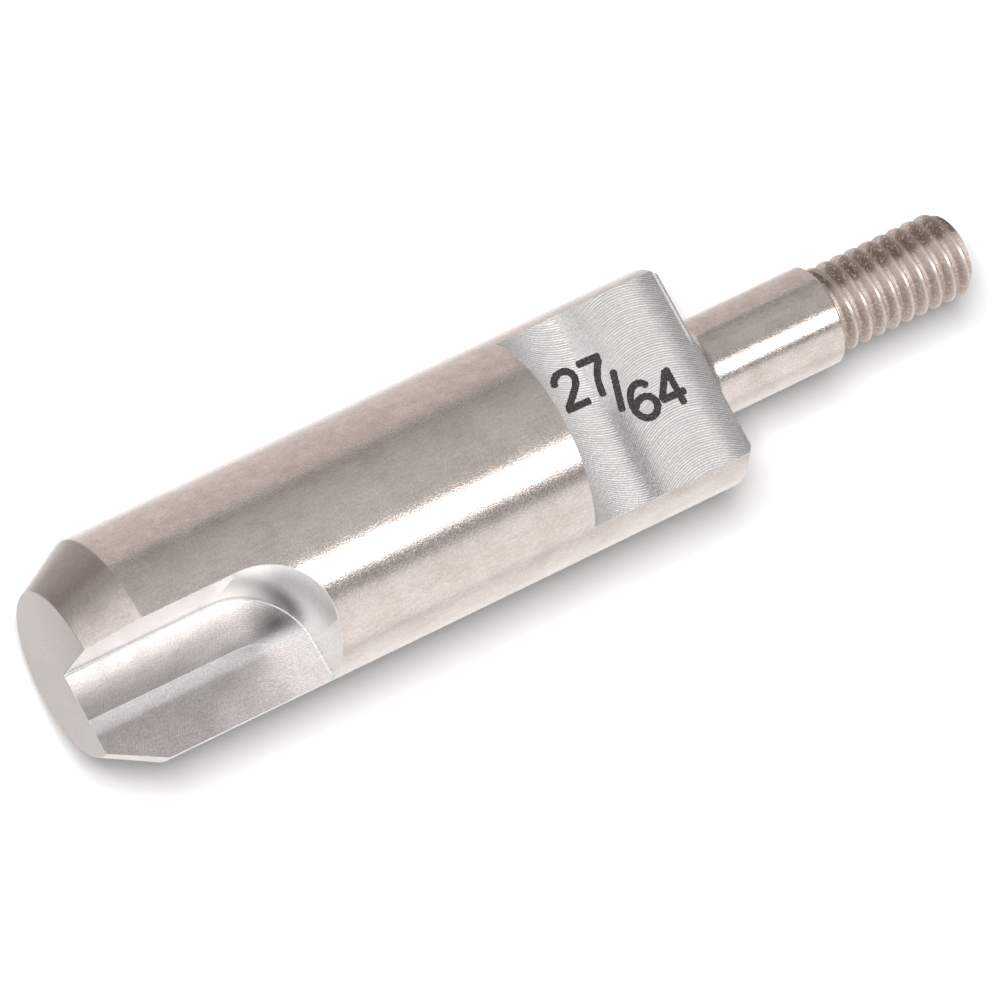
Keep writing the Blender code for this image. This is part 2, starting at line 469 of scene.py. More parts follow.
def mixed(tree, share, first, second):
    """A blend of two colours, each a socket or linear values."""
    values = {0: share}
    for index, colour in ((6, first), (7, second)):
        values[index] = colour if isinstance(colour, bpy.types.NodeSocket) else (*colour, 1.0)
    return put(tree, "ShaderNodeMix", values, data_type="RGBA", out=2)


def between(tree, share, first, second):
    """A blend of two measures, each a socket or a number."""
    return put(tree, "ShaderNodeMix", {0: share, 2: first, 3: second})


def noise(tree, place, scale, detail, roughness=0.5):
    """Cloudy noise from 0 to 1 over a place."""
    values = {"Vector": place, "Scale": scale, "Detail": detail, "Roughness": roughness}
    return put(tree, "ShaderNodeTexNoise", values)


def line_noise(tree, place, scale=1.0):
    """Noise along a single measure, for marks that run side by side."""
    values = {"W": place, "Scale": scale, "Detail": 2.0}
    return put(tree, "ShaderNodeTexNoise", values, noise_dimensions="1D")


def scaled(tree, colour, factor):
    """A colour made lighter or darker."""
    return put(tree, "ShaderNodeVectorMath", colour, {3: factor}, operation="SCALE")


def length_of(tree, first, second):
    """The length of the vector with two sockets as its parts."""
    vector = put(tree, "ShaderNodeCombineXYZ", first, second, 0.0)
    return put(tree, "ShaderNodeVectorMath", vector, operation="LENGTH", out="Value")


def ramp(tree, value, start, end, low, high):
    """A straight, clamped step of a value between two levels."""
    return put(tree, "ShaderNodeMapRange", value, start, end, low, high)


def stained(tree, place, colour, dark, scale, amount):
    """The steel's colour, drifting towards a darker one in soft patches drawn out along X."""
    cloud = noise(tree, place, scale, 4.0, 0.6)
    patch = ramp(tree, cloud, 0.35, 0.75, 0.0, amount)
    drawn = put(tree, "ShaderNodeVectorMath", place, (0.25, 1.0, 1.0), operation="MULTIPLY")
    streaks = noise(tree, drawn, 6.0, 2.0, 0.7)
    streaks = ramp(tree, streaks, 0.3, 0.7, -0.18, 0.18)
    patch = calc(tree, "ADD", patch, streaks, clamp=True)
    return mixed(tree, patch, colour, dark)


def grained(tree, place, colour, amount):
    """The colour broken up by grain of about a tenth of a millimetre, drawn a little coarser
    than on the tool so that it shows from here."""
    grain = noise(tree, place, 11.0, 2.0, 0.8)
    grain = ramp(tree, grain, 0.3, 0.7, 1 - amount, 1 + amount)
    return scaled(tree, colour, grain)


def hill(tree, value, middle, width, top):
    """A smooth hump of a value: top at the middle, 0 from the width away on."""
    away = calc(tree, "SUBTRACT", value, middle)
    away = calc(tree, "ABSOLUTE", away)
    return slope(tree, away, width, 0.0, 0.0, top)


def slope(tree, value, start, end, low, high):
    """A smooth step of a value between two levels."""
    return put(
        tree, "ShaderNodeMapRange", value, start, end, low, high, interpolation_type="SMOOTHSTEP"
    )


def side_mask(tree, u, v, degrees, inner, outer):
    """1 on one side of the bar, about an angle from U towards V; it fades between two distances
    from there, in degrees."""
    arm = put(tree, "ShaderNodeCombineXYZ", u, v, 0.0)
    arm = put(tree, "ShaderNodeVectorMath", arm, operation="NORMALIZE")
    angle = math.radians(degrees)
    side = (math.cos(angle), math.sin(angle), 0)
    near = put(tree, "ShaderNodeVectorMath", arm, side, operation="DOT_PRODUCT", out=1)
    inner, outer = math.cos(math.radians(inner)), math.cos(math.radians(outer))
    return slope(tree, near, outer, inner, 0.0, 1.0)


def arc_reach(tree, radius, offset):
    """How far a circle reaches at an offset from its centre, and nearly 0 outside it."""
    square = calc(tree, "MULTIPLY", offset, offset)
    reach = calc(tree, "SUBTRACT", radius * radius, square)
    reach = calc(tree, "MAXIMUM", reach, 0.0001)
    return calc(tree, "SQRT", reach)


def turned_steel(sizes, finish):
    """Turned tool steel: fine rings across the axis spread the light along it, over a grain
    from hardening that breaks the edges of a reflection into sparkle. One side carries a
    pinkish film from handling that is also painted shade, the nose face and the upper side of
    its bevel are darkened with painted shade, and the thread's crests are scuffed and, on one
    side, darkened by oil and painted shade."""
    material, tree = material_tree("turned_steel")
    place, x, u, v = tool_place(tree)
    rings = calc(tree, "MULTIPLY", x, MM / finish.lathe_pitch)
    rings = line_noise(tree, rings)
    grain = noise(tree, place, 12.0, 2.0, 0.7)
    height = calc(tree, "MULTIPLY_ADD", rings, 0.5, grain)
    colour = stained(tree, place, finish.steel, linear("#B8ABA3"), 0.7, 0.5)
    cloud = noise(tree, place, 1.6, 5.0, 0.7)
    cloud = ramp(tree, cloud, 0.3, 0.7, 0.55, 1.1)
    # The pinkish film, which is also painted shade on this flank, lies on the round side alone:
    # not on the nose face, which is greyer with painted shade of its own, nor on the end of the
    # thread
    face_shade = ramp(tree, x, 0.04, 0.02, 0.0, 0.8)
    film_and_painted_light = side_mask(tree, u, v, 39, 12, 22)
    film_and_painted_light = calc(tree, "MULTIPLY", film_and_painted_light, cloud, clamp=True)
    radius = length_of(tree, u, v)
    outside = ramp(tree, radius, 1.75, 1.95, 0.0, 1.0)
    film_and_painted_light = calc(tree, "MULTIPLY", film_and_painted_light, outside)
    film_and_painted_light = calc(tree, "SUBTRACT", film_and_painted_light, face_shade, clamp=True)
    colour = mixed(tree, film_and_painted_light, colour, linear("#AE9E97"))
    # Painted shade: the nose face is darkened to a greyer colour
    colour = mixed(tree, face_shade, colour, linear("#B7B1AD"))
    # Painted shade: the nose's bevel is darker on its upper side
    bevel_shade = side_mask(tree, u, v, 32, 10, 30)
    bevel = ramp(tree, x, 2.62, 2.5, 0.0, 0.72)
    bevel_shade = calc(tree, "MULTIPLY", bevel_shade, bevel)
    bevel_shade = calc(tree, "SUBTRACT", bevel_shade, face_shade, clamp=True)
    colour = mixed(tree, bevel_shade, colour, linear("#7F7570"))
    colour = grained(tree, place, colour, 0.13)
    # The nose was turned last and has a coarser finish; elsewhere the grain makes it vary
    polish = ramp(tree, grain, 0.35, 0.65, 0.18, 0.32)
    cone = ramp(tree, x, 2.65, 2.5, 0.0, 0.12)
    roughness = calc(tree, "ADD", polish, cone)
    # Past the shank only the thread's crests are left of the turned form
    shank_end = (sizes.body_length + sizes.shank_length) / MM
    threaded = ramp(tree, x, shank_end, shank_end + 0.1, 0.0, 1.0)
    roughness = calc(tree, "MULTIPLY_ADD", threaded, 0.22, roughness)
    # Dried oil and painted shade darken the crests on one side
    oil_and_shade = side_mask(tree, u, v, 50, 14, 32)
    oil_and_shade = calc(tree, "MULTIPLY", oil_and_shade, threaded)
    oil_and_shade = calc(tree, "MULTIPLY", oil_and_shade, outside)
    oil_and_shade = calc(tree, "MULTIPLY", oil_and_shade, 0.5)
    colour = mixed(tree, oil_and_shade, colour, finish.oil_and_shade)
    tangent = to_world(tree, 1.0, 0.0, 0.0)
    steel_shader(tree, colour, roughness, 0.7, tangent, height, FINE_BUMP)
    return material


def milled_floor_steel(sizes, finish):
    """End-milled steel on the flute's floor and wall. The mill's trailing edge leaves arcs that
    run along the axis at the wall and nearly square to it further out, and where the mill
    stopped it leaves whole circles, so the sheen turns as the marks do. The colour carries
    painted sheen and shade that follow the marks, and the wall's near-white colour is a painted
    reflection."""
    material, tree = material_tree("milled_flute_steel")
    place, x, u, v = tool_place(tree)
    radius = sizes.mill_diameter / 2 / MM
    last = sizes.flute_length / MM - radius
    step = sizes.second_pass_offset / MM
    outer = calc(tree, "LESS_THAN", u, -step)
    centre = calc(tree, "MULTIPLY_ADD", outer, -step, -radius)
    across = calc(tree, "SUBTRACT", u, centre)
    reach = arc_reach(tree, radius, across)
    trailing = calc(tree, "ADD", x, reach)
    beyond = calc(tree, "SUBTRACT", x, last)
    circle = length_of(tree, beyond, across)
    # Between the arcs and the circles the marks turn from one to the other
    stop = slope(tree, x, last - 1.1, last + 1.3, 0.0, 1.0)
    go = calc(tree, "SUBTRACT", 1.0, stop)
    back = calc(tree, "MULTIPLY", reach, go)
    along = calc(tree, "MULTIPLY", beyond, stop)
    along = calc(tree, "SUBTRACT", along, back)
    stopped = calc(tree, "GREATER_THAN", x, last + 0.4)
    phase = between(tree, stopped, trailing, circle)
    phase = calc(tree, "MULTIPLY", phase, MM / finish.mill_pitch)
    lines = line_noise(tree, phase)
    specks = noise(tree, place, 10.0, 1.0, 0.6)
    wall = ramp(tree, v, 0.01, 0.06, 0.0, 1.0)
    plan = calc(tree, "SUBTRACT", 1.0, wall)
    height = calc(tree, "MULTIPLY_ADD", lines, plan, specks)

    # Painted sheen and shade: the colour is made lighter or darker for how much light each part of
    # the marks gives back: darker on the second pass, darkest where the mill stopped against the
    # wall, lightest where its circles run square to the axis
    inside = slope(tree, u, -0.4, -1.3, 0.87, 0.64)
    foot = slope(tree, u, -1.3, -2.2, 0.0, 0.06)
    inside = calc(tree, "ADD", inside, foot)
    second = slope(tree, u, -2.9, -4.7, 0.47, 0.82)
    ridge = slope(tree, u, -2.9, -3.2, 0.18, 0.0)
    second = calc(tree, "ADD", second, ridge)
    shade = between(tree, outer, inside, second)
    end = slope(tree, x, last + 0.6, last + 2.4, 0.0, 1.0)
    open_side = slope(tree, u, -1.9, -3.1, 0.0, 1.0)
    end = calc(tree, "MULTIPLY", end, open_side)
    shade = between(tree, end, shade, 1.22)
    spot_x = hill(tree, x, last + 2.35, 1.6, 1.0)
    spot_u = hill(tree, u, -1.95, 1.0, 0.4)
    shade_spot = calc(tree, "MULTIPLY", spot_x, spot_u)
    shade = calc(tree, "SUBTRACT", shade, shade_spot)
    # Painted shade: beside the step the colour stays darker up to the end
    beside = calc(tree, "MULTIPLY_ADD", outer, -1.9, x)
    beside = slope(tree, beside, last - 2.0, last - 0.3, 0.0, 1.0)
    step_shade = hill(tree, u, -2.3, 0.65, 0.17)
    step_shade = calc(tree, "MULTIPLY", step_shade, beside)
    shade = calc(tree, "SUBTRACT", shade, step_shade)
    colour = stained(tree, place, linear("#DDD5D2"), linear("#C0B1AC"), 0.8, 0.4)
    bluish = hill(tree, u, -2.65, 0.45, 0.5)
    bluish = calc(tree, "MULTIPLY", bluish, outer)
    colour = mixed(tree, bluish, colour, linear("#D9D9DA"))
    colour = scaled(tree, colour, shade)
    # The wall has a smoother finish and mirrors the floor beside it; its near-white colour is a
    # painted reflection
    colour = mixed(tree, wall, colour, linear("#F8FCFC"))
    colour = grained(tree, place, colour, 0.2)
    hatch = calc(tree, "MULTIPLY", phase, math.tau)
    hatch = calc(tree, "SINE", hatch)
    hatch = calc(tree, "MULTIPLY", hatch, lines)
    # The mill's centre barely cut, so the marks fade and lose their direction there
    cutting = slope(tree, circle, 0.8, 3.0, 0.15, 0.92)
    hatch = calc(tree, "MULTIPLY", hatch, cutting)
    hatch = calc(tree, "MULTIPLY", hatch, plan)
    hatch = calc(tree, "MULTIPLY_ADD", hatch, 0.16, 1.0)
    colour = scaled(tree, colour, hatch)
    roughness = between(tree, wall, 0.4, 0.25)
    anisotropy = between(tree, wall, cutting, 0.0)
    tangent = to_world(tree, along, across, 0.0)
    steel_shader(tree, colour, roughness, anisotropy, tangent, height, FINE_BUMP)
    return material


def milled_flat_steel(sizes, finish):
    """End-milled steel on the flat: two passes of the mill across the tool, whose arcs bend
    opposite ways and meet in a darker band of painted shade where they run steep. A painted
    highlight marks the edge a file took off at the shoulder."""
    material, tree = material_tree("milled_flat_steel")
    place, x, u, v = tool_place(tree)
    radius = sizes.mill_diameter / 2 / MM
    wall = (sizes.body_length - sizes.flat_length) / MM
    torn = put(tree, "ShaderNodeVectorMath", place, (1.0, 2.5, 1.0), operation="MULTIPLY")
    jitter = noise(tree, torn, 4.0, 4.0, 0.7)
    edge = calc(tree, "MULTIPLY_ADD", jitter, 1.2, wall + 2.5)
    second = calc(tree, "GREATER_THAN", x, edge)
    centre = calc(tree, "MULTIPLY_ADD", second, 2.5, wall + radius)
    along = calc(tree, "SUBTRACT", x, centre)
    reach = arc_reach(tree, radius, along)
    side = calc(tree, "MULTIPLY_ADD", second, 2.0, -1.0)
    across = calc(tree, "MULTIPLY", reach, side)
    phase = calc(tree, "SUBTRACT", u, across)
    phase = calc(tree, "MULTIPLY", phase, MM / finish.mill_pitch)
    ridges = calc(tree, "MULTIPLY", phase, math.tau)
    ridges = calc(tree, "SINE", ridges)
    lines = line_noise(tree, phase, 0.8)
    grain = noise(tree, place, 7.0, 1.0, 0.6)
    height = calc(tree, "MULTIPLY_ADD", ridges, 0.3, lines)
    height = calc(tree, "ADD", height, grain)
    # Painted shade: darker in the band where the passes meet, most of all on the open side. The
    # colour also grows darker towards the shoulder
    shade = slope(tree, x, wall + 2.5, wall + 3.2, 0.85, 0.82)
    open_side_shade = slope(tree, u, 1.2, -1.0, -0.26, 0.23)
    band_shade = calc(tree, "ABSOLUTE", u)
    band_shade = calc(tree, "MULTIPLY_ADD", band_shade, 0.09, x)
    band_shade = calc(tree, "ADD", band_shade, jitter)
    band_shade = hill(tree, band_shade, wall + 4.1, 0.95, 1.0)
    band_shade = calc(tree, "MULTIPLY", band_shade, open_side_shade)
    shade = calc(tree, "SUBTRACT", shade, band_shade)
    worn = calc(tree, "MULTIPLY_ADD", jitter, 0.6, x)
    worn = slope(tree, worn, wall + 7.2, wall + 8.3, 0.0, 0.31)
    shade = calc(tree, "SUBTRACT", shade, worn)
    # A file took the edge off at the shoulder, on the side away from the flute's opening; its
    # lighter strip is a painted highlight
    filed_edge_highlight = hill(tree, x, wall + 8.37, 0.1, 1.0)
    filed_side = slope(tree, u, 0.6, 1.6, 0.0, 0.6)
    filed_edge_highlight = calc(tree, "MULTIPLY", filed_edge_highlight, filed_side)
    shade = calc(tree, "ADD", shade, filed_edge_highlight)
    colour = stained(tree, place, linear("#DEDAD7"), linear("#C6C1BE"), 0.8, 0.4)
    colour = scaled(tree, colour, shade)
    colour = grained(tree, place, colour, 0.1)
    hatch = calc(tree, "MULTIPLY", ridges, lines)
    hatch = calc(tree, "MULTIPLY_ADD", hatch, 0.14, 1.0)
    colour = scaled(tree, colour, hatch)
    tangent = to_world(tree, along, across, 0.0)
    seam = calc(tree, "SUBTRACT", x, edge)
    seam = hill(tree, seam, 0.0, 0.5, 0.6)
    anisotropy = calc(tree, "SUBTRACT", 0.85, seam)
    steel_shader(tree, colour, 0.42, anisotropy, tangent, height, 0.009 * MM)
    return material


def threaded_steel(sizes, finish):
    """Single-point cut thread: bright worn crests, flanks with a thin beige film that a painted
    highlight clears from a band on one side, and one side brown with dried oil and painted shade,
    in which a few bare specks glint like brass."""
    material, tree = material_tree("threaded_steel")
    place, x, u, v = tool_place(tree)
    radius = length_of(tree, u, v)
    crest = sizes.thread_diameter / 2 / MM
    specks = noise(tree, place, 7.0, 4.0, 0.7)
    depth = ramp(tree, radius, crest, crest - 0.2, 0.1, 0.75)
    film_and_painted_light = ramp(tree, specks, 0.35, 0.65, 0.45, -0.45)
    film_and_painted_light = calc(tree, "ADD", film_and_painted_light, depth, clamp=True)
    # Painted highlight: the film thins in a band on one side, where the crests catch the light
    painted_highlight_band = side_mask(tree, u, v, 86, 8, 30)
    painted_highlight_band = calc(tree, "MULTIPLY_ADD", painted_highlight_band, -0.7, 1.0)
    film_and_painted_light = calc(tree, "MULTIPLY", film_and_painted_light, painted_highlight_band)
    colour = mixed(tree, film_and_painted_light, finish.steel, linear("#B8A8A0"))
    # Dried oil and painted shade turn one side brown
    side = side_mask(tree, u, v, 50, 14, 32)
    oil_and_shade = ramp(tree, specks, 0.25, 0.6, 0.35, 1.0)
    oil_and_shade = calc(tree, "MULTIPLY", oil_and_shade, side)
    colour = mixed(tree, oil_and_shade, colour, finish.oil_and_shade)
    glints = ramp(tree, specks, 0.54, 0.6, 0.0, 0.9)
    colour = mixed(tree, glints, colour, linear("#E4D6C6"))
    grain = noise(tree, place, 10.0, 3.0, 0.7)
    tangent = to_world(tree, 1.0, 0.0, 0.0)
    roughness = between(tree, oil_and_shade, 0.48, 0.6)
    steel_shader(tree, colour, roughness, 0.5, tangent, grain, 0.05 * MM)
    return material


def blackened_steel(mark):
    """Laser-blackened steel: dull brown-black oxide with bare sparkling specks in it."""
    material, tree = material_tree("blackened_steel")
    place = tool_place(tree)[0]
    specks = noise(tree, place, 13.0, 3.0, 0.7)
    share = ramp(tree, specks, 0.54, 0.74, 0.0, 1.0)
    colour = mixed(tree, share, mark.ink, linear("#A09694"))
    normal = put(tree, "ShaderNodeBump", {"Strength": 1.0, "Distance": FINE_BUMP, "Height": specks})
    metal = ramp(tree, specks, 0.54, 0.74, 0.1, 0.8)
    shader = put(
        tree,
        "ShaderNodeBsdfPrincipled",
        {"Base Color": colour, "Metallic": metal, "Roughness": 0.5, "Normal": normal},
    )
    put(tree, "ShaderNodeOutputMaterial", shader)
    return material


def turned_profile(sizes):
    """The bar after turning, with its corners worn round: (place along the axis, radius)."""
    nose = sizes.nose_diameter / 2
    shank = sizes.shank_diameter / 2
    thread = sizes.thread_diameter / 2
    shoulder = sizes.body_length
    shank_end = shoulder + sizes.shank_length
    end = shank_end + sizes.thread_length
    return rounded(
        [
            (0, 0, 0),
            (0, nose, 0.05 * MM),
            (sizes.nose_length, BODY_RADIUS, 0.1 * MM),
            (shoulder - sizes.shoulder_bevel, BODY_RADIUS, 0.08 * MM),
            (shoulder, BODY_RADIUS - sizes.shoulder_bevel, 0.06 * MM),
            (shoulder, shank, sizes.shank_fillet),
            (shank_end - sizes.shank_bevel, shank, 0.06 * MM),
            (shank_end, thread, 0.04 * MM),
            (end - THREAD_END_BEVEL, thread, 0.06 * MM),
            (end, thread - THREAD_END_BEVEL, 0.05 * MM),
            (end, 0, 0),
        ]
    )


def groove_section(sizes):
    """The thread's groove, a 60 degree vee with a rounded root and lips: (along, radius)."""
    pitch = sizes.thread_pitch
    crest = sizes.thread_diameter / 2
    depth = GROOVE_DEPTH * pitch
    mouth = GROOVE_MOUTH * pitch
    root = mouth - depth * math.tan(math.radians(30))
    clear = pitch / 2 - 0.01 * MM
    side = rounded(
        [
            (0, crest - depth, 0),
            (root, crest - depth, GROOVE_ROUNDING),
            (mouth, crest, GROOVE_ROUNDING),
            (clear, crest + 0.008 * MM, 0),
        ]
    )
    above = crest + CLEAR_OF_CRESTS
    top = [(clear, above), (-clear, above)]
    mirrored = [(-along, radius) for along, radius in reversed(side[1:])]
    return side + top + mirrored


def milled_outline(sizes, wall):
    """Plan of one flute pass: along the wall, round the mill's quarter arc, out to the side."""
    radius = sizes.mill_diameter / 2
    outside = -BODY_RADIUS - MM
    centre = Vector((sizes.flute_length - radius, wall - radius))
    corner = [
        (centre.x + radius * math.sin(a), centre.y + radius * math.cos(a))
        for a in (math.pi / 2 * i / MILL_ARC_STEPS for i in range(MILL_ARC_STEPS + 1))
    ]
    return [(-MM, outside), (-MM, wall), *corner, (sizes.flute_length, outside)]


def prism(name, outline, low, high, material):
    """A cutter: an outline in X and U, carried up V from one height to another."""
    bm = bmesh.new()
    base = bm.faces.new([bm.verts.new((x, y, low)) for x, y in outline])
    top = bmesh.ops.extrude_face_region(bm, geom=[base])
    raised = [item for item in top["geom"] if isinstance(item, bmesh.types.BMVert)]
    bmesh.ops.translate(bm, verts=raised, vec=(0, 0, high - low))
    bmesh.ops.recalc_face_normals(bm, faces=bm.faces)
    mesh = bpy.data.meshes.new(name)
    bm.to_mesh(mesh)
    bm.free()
    mesh.materials.append(material)
    return new_object(name, mesh)


def round_foot(obj, sizes):
    """Rounds the cutter's lower edge along the wall, which leaves the corner radius there."""
    bm = bmesh.new()
    bm.from_mesh(obj.data)
    foot = []
    for edge in bm.edges:
        a, b = (vert.co for vert in edge.verts)
        low = max(abs(a.z), abs(b.z)) < SAME_PLACE
        front = max(a.x, b.x) < -0.5 * MM
        side = max(a.y, b.y) < -BODY_RADIUS - 0.5 * MM
        if low and not front and not side:
            foot.append(edge)
    bmesh.ops.bevel(
        bm, geom=foot, offset=sizes.flute_corner, segments=5, profile=0.5, affect="EDGES"
    )
    bm.to_mesh(obj.data)
    bm.free()


def cut(target, cutter):
    """Takes the cutter away from the target for good; cut faces keep the cutter's finish."""
    modifier = target.modifiers.new(cutter.name, "BOOLEAN")
    modifier.operation = "DIFFERENCE"
    modifier.solver = "EXACT"
    modifier.material_mode = "TRANSFER"
    modifier.object = cutter
    cut_mesh = plain_mesh(target)
    target.data = cut_mesh
    remove_objects(cutter)


def break_edges(mesh, width):
    """Rounds the milled edges, where two finishes meet at an angle, and the step between passes."""
    bm = bmesh.new()
    bm.from_mesh(mesh)
    bmesh.ops.remove_doubles(bm, verts=bm.verts, dist=SAME_PLACE)
    worn = []
    for edge in bm.edges:
        if len(edge.link_faces) != 2:
            continue
        a, b = edge.link_faces
        milled = max(a.material_index, b.material_index) in (1, 2)
        if milled and edge.calc_face_angle_signed(0) > math.radians(25):
            worn.append(edge)
    bmesh.ops.bevel(
        bm,
        geom=worn,
        offset=width,
        segments=2,
        profile=0.5,
        affect="EDGES",
        clamp_overlap=False,
        harden_normals=False,
    )
    bm.to_mesh(mesh)
    bm.free()


def make_body(sizes, finish):
    """The blank is turned, and then milled and threaded as the real one is."""
    turned = turned_steel(sizes, finish)
    flute = milled_floor_steel(sizes, finish)
    flat = milled_flat_steel(sizes, finish)
    thread = threaded_steel(sizes, finish)

    profile = polyline("profile", turned_profile(sizes))
    blank = polyline("blank", [(0, 0)])
    values = {"Profile": profile, "Facets": sizes.facets}
    body = new_object("reamer_body", closed(run_tree(blank, turning_tree(turned), values)))
    remove_objects(profile, blank)

    top = BODY_RADIUS + MM
    first = prism("flute", milled_outline(sizes, 0), 0, top, flute)
    round_foot(first, sizes)
    cut(body, first)
    wall = -sizes.second_pass_offset
    low = -sizes.second_pass_depth
    cut(body, prism("second_pass", milled_outline(sizes, wall), low, top, flute))
    start = sizes.body_length - sizes.flat_length
    end = sizes.body_length + MM
    outline = [(start, -top), (end, -top), (end, top), (start, top)]
    cut(body, prism("flat", outline, sizes.flat_height, top, flat))

    section = groove_section(sizes)
    depth = GROOVE_DEPTH * sizes.thread_pitch
    shank_end = sizes.body_length + sizes.shank_length
    turns = math.ceil(sizes.thread_length / sizes.thread_pitch) + 1
    shape = polyline("section", section)
    seed = polyline("groove_seed", [(0, 0)])
    values = {
        "Section": shape,
        "First Place": shank_end,
        "Pitch": sizes.thread_pitch,
        "Turns": float(turns),
        "Steps Per Turn": sizes.thread_steps,
        "Start Turn": START_TURN,
        "Run Out Turns": RUN_OUT_TURNS,
        "Nearest Place": shank_end + SHANK_LAND,
        "Run Out Lift": depth + CLEAR_OF_CRESTS,
    }
    groove = new_object("groove", closed(run_tree(seed, screw_tree(thread), values)))
    remove_objects(shape, seed)
    cut(body, groove)

    break_edges(body.data, sizes.edge_break)
    body.data.transform(TOOL)
    body.data.shade_smooth()
    body.data.set_sharp_from_angle(angle=SHARP_ANGLE)
    weigh = body.modifiers.new("weighted", "WEIGHTED_NORMAL")
    weigh.weight = 100
    weigh.keep_sharp = True
    body.data = plain_mesh(body)
    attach(body, "root")
    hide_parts("reamer")
    return body


# Centre lines of the size mark, in millimetres along X and U on the flat
STROKES = [
    [(25.87, 1.72), (25.97, 2.04), (26.3, 2.24), (26.7, 2.2), (26.92, 1.88), (26.82, 1.5)]
    + [(26.45, 1.1), (26.06, 0.74), (25.93, 0.6)],
    [(25.8, 0.58), (27.1, 0.55)],
    [(27.26, 2.24), (28.52, 2.2)],
    [(28.4, 2.12), (28.1, 1.72), (27.85, 1.2), (27.72, 0.44)],
    [(28.72, 1.38), (28.16, -0.55)],
    [(29.84, 0.0), (29.62, 0.27), (29.28, 0.32), (28.96, 0.1), (28.76, -0.3), (28.73, -0.78)]
    + [(28.92, -1.16), (29.26, -1.32), (29.62, -1.2), (29.83, -0.86), (29.72, -0.5)]
    + [(29.38, -0.34), (29.0, -0.46), (28.8, -0.72)],
    [(31.38, -0.88), (30.04, -0.84)],
    [(30.1, -0.86), (30.95, 0.36)],
    [(30.98, 0.44), (31.0, -1.45)],
]


def make_mark(sizes, mark):
    """The size in 64ths of an inch, as flat dark strokes on the milled flat."""
    material = blackened_steel(mark)
    curve = bpy.data.curves.new("centre_lines", "CURVE")
    curve.dimensions = "3D"
    for line in STROKES:
        spline = curve.splines.new("POLY")
        spline.points.add(len(line) - 1)
        for point, (x, u) in zip(spline.points, line):
            point.co = (x * MM, u * MM, 0, 1)
    lines = new_object("centre_lines", curve)
    values = {"Width": mark.stroke_width, "Height": mark.stroke_height}
    mesh = closed(run_tree(lines, stroke_tree(material), values))
    remove_objects(lines)
    mesh.transform(TOOL @ Matrix.Translation((0, 0, sizes.flat_height)))
    mesh.shade_smooth()
    piece = new_object("size_mark", mesh)
    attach(piece, "root")
    return piece


# Where the sheet ends and the table begins: a direction on the floor and the fade along it
TABLE_BEHIND = ((0.382, 0.924, 0), 0.0205, 0.08)
TABLE_BESIDE = ((-0.933, 0.36, 0), 0.0232, 0.05)


def white_sheet(studio):
    """Matt white sheet on a grey table. It fades out into the table behind the tool and beside
    its nose, where the steel mirrors a darker room."""
    material, tree = material_tree("white_sheet")
    place = put(tree, "ShaderNodeTexCoord", out="Object")
    colour = studio.sheet
    for (across, start, end), table in (
        (TABLE_BEHIND, studio.table),
        (TABLE_BESIDE, studio.side_table),
    ):
        far = put(tree, "ShaderNodeVectorMath", place, across, operation="DOT_PRODUCT", out=1)
        share = slope(tree, far, start, end, 0.0, 1.0)
        colour = mixed(tree, share, colour, table)
    tooth = noise(tree, place, 900.0, 2.0)
    shade = ramp(tree, tooth, 0.3, 0.7, 0.985, 1.0)
    tint = put(tree, "ShaderNodeVectorMath", colour, shade, operation="MULTIPLY")
    matt = put(tree, "ShaderNodeBsdfDiffuse", {"Color": tint, "Roughness": 0.3})
    put(tree, "ShaderNodeOutputMaterial", matt)
    return material


def add_panel_light(name, radiance, lean, tilt, distance, long, wide, spread=None):
    """A soft rectangular lamp that faces the tool; its power follows from its radiance.

    Lean is its angle from overhead about the tool's axis, towards -Y, tilt its angle towards +X.
    A spread, half of the lamp's beam, makes it fade away from its middle, where it has the
    full radiance.
    """
    lean, tilt = math.radians(lean), math.radians(tilt)
    lamp = bpy.data.lights.new(name, "AREA")
    lamp.shape = "RECTANGLE"
    lamp.size = long
    lamp.size_y = wide
    lamp.energy = radiance * math.pi * long * wide
    if spread:
        half = math.radians(spread)
        lamp.spread = 2 * half
        lamp.energy *= (math.tan(half) - half) / math.tan(half)
    obj = new_object(name, lamp)
    back = Vector(
        (math.sin(tilt), -math.sin(lean) * math.cos(tilt), math.cos(lean) * math.cos(tilt))
    )
    up = Vector((0, math.cos(lean), math.sin(lean)))
    obj.location = back * distance
    obj.rotation_mode = "QUATERNION"
    obj.rotation_quaternion = Matrix((up.cross(back), up, back)).transposed().to_quaternion()
    obj.visible_camera = False
    return obj


# The camera, as fitted to the photo's edges: its place, and its right, up and backward directions
CAMERA_SENSOR = 36
CAMERA_LENS = 342
CAMERA_PLACE = (-157.578, 114.201, 382.412)
CAMERA_AXES = (
    Vector((0.83836, -0.31603, 0.44416)),
    Vector((0.40198, 0.90875, -0.11215)),
    Vector((-0.36819, 0.27257, 0.88890)),
)

# Each lamp's lean, tilt, distance, length, width and half beam
SHEET_LAMP = (-24, -19, 0.5, 0.14, 0.14)
STEEL_LAMPS = {
    "strip_light": (-0.1, 24, 0.65, 0.6, 0.207),
    "side_light": (61.5, 20, 0.9, 1.2, 0.98),
    "fill_light": (-48, 20, 0.9, 1.8, 1.8, 45),
    "nose_light": (-12, -38, 0.5, 1.73, 1.73, 60),
}


